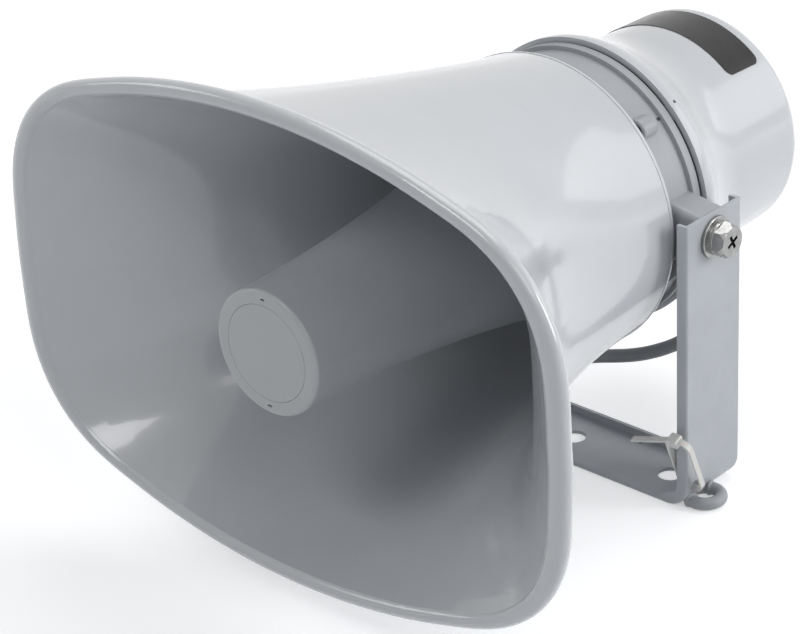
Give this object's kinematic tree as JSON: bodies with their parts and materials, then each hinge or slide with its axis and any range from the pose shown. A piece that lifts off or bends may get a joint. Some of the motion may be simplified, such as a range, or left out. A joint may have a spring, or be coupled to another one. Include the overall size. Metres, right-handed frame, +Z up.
{
  "type": "pa horn speaker",
  "caption": "Wide-mouth re-entrant paging horn with inner reflector, round rear driver cover and a U bracket that lets it tilt.",
  "frame": {"origin": "centre of the bracket foot's underside, which rests on or is bolted to the mounting surface", "axes": "+Z up from the foot to the horn, the mouth faces -Y, +X along the tilt axis to the right seen from behind"},
  "size_m": [0.2871, 0.2752, 0.222],
  "materials": {
    "coated_steel": "grey-white coated steel sheet, satin",
    "bolt_steel": "stainless steel, turned and pressed",
    "nylon": "natural nylon",
    "horn_plastic": "off-white ABS, fine satin",
    "collar_plastic": "light grey ABS, satin",
    "dark_plastic": "grey ABS",
    "seal_rubber": "black moulded rubber",
    "label_film": "black film, blank",
    "film_plastic": "amber moulded film",
    "copper": "enamelled copper wire on a former",
    "plated_steel": "zinc-plated steel",
    "ferrite": "sintered ferrite, dark",
    "board": "brown phenolic board",
    "core_steel": "varnished laminations",
    "winding_tape": "yellow tape over the winding",
    "lead_plastic": "grey insulation with tinned ends",
    "cable_jacket": "dark grey flexible jacket, satin",
    "brass": "turned brass"
  },
  "bodies": {
    "bracket": {"bracket": "coated_steel", "safety_eye": "bolt_steel", "cable_tie": "nylon"},
    "horn": {"flare": "horn_plastic", "reflector": "horn_plastic", "badge_disc": "horn_plastic", "throat_tube": "dark_plastic", "mount_collar": "collar_plastic", "cover_gasket": "seal_rubber", "rear_cover": "horn_plastic", "cover_label": "label_film", "cover_screws": "bolt_steel", "driver_gasket": "seal_rubber", "phase_plug": "dark_plastic", "diaphragm_ring": "dark_plastic", "diaphragm_surround": "film_plastic", "front_plate": "plated_steel", "ring_magnet": "ferrite", "magnet_yoke": "plated_steel", "driver_screws": "bolt_steel", "terminal_strip": "board", "transformer_core": "core_steel", "transformer_winding": "winding_tape", "transformer_frame": "plated_steel", "frame_screws": "bolt_steel", "lead_wires": "lead_plastic", "cable_gland": "seal_rubber", "cable": "cable_jacket", "cable_cores": "lead_plastic", "pivot_bolt_right": "bolt_steel", "flat_washer_right": "bolt_steel", "spring_washer_right": "bolt_steel", "lug_insert_right": "brass", "pivot_bolt_left": "bolt_steel", "flat_washer_left": "bolt_steel", "spring_washer_left": "bolt_steel", "lug_insert_left": "brass"},
    "diaphragm": {"diaphragm_dome": "film_plastic", "voice_coil": "copper"}
  },
  "joints": [
    {"name": "horn_tilt", "type": "hinge", "parent": "bracket", "child": "horn", "pos_m": [0, 0, 0.12], "axis": [1, 0, 0], "range_deg": [-90, 20]},
    {"name": "diaphragm_travel", "type": "slide", "parent": "horn", "child": "diaphragm", "axis": [0, 1, 0], "range_m": [-0.00025, 0.00025], "stiffness_N_per_m": 2000}
  ]
}
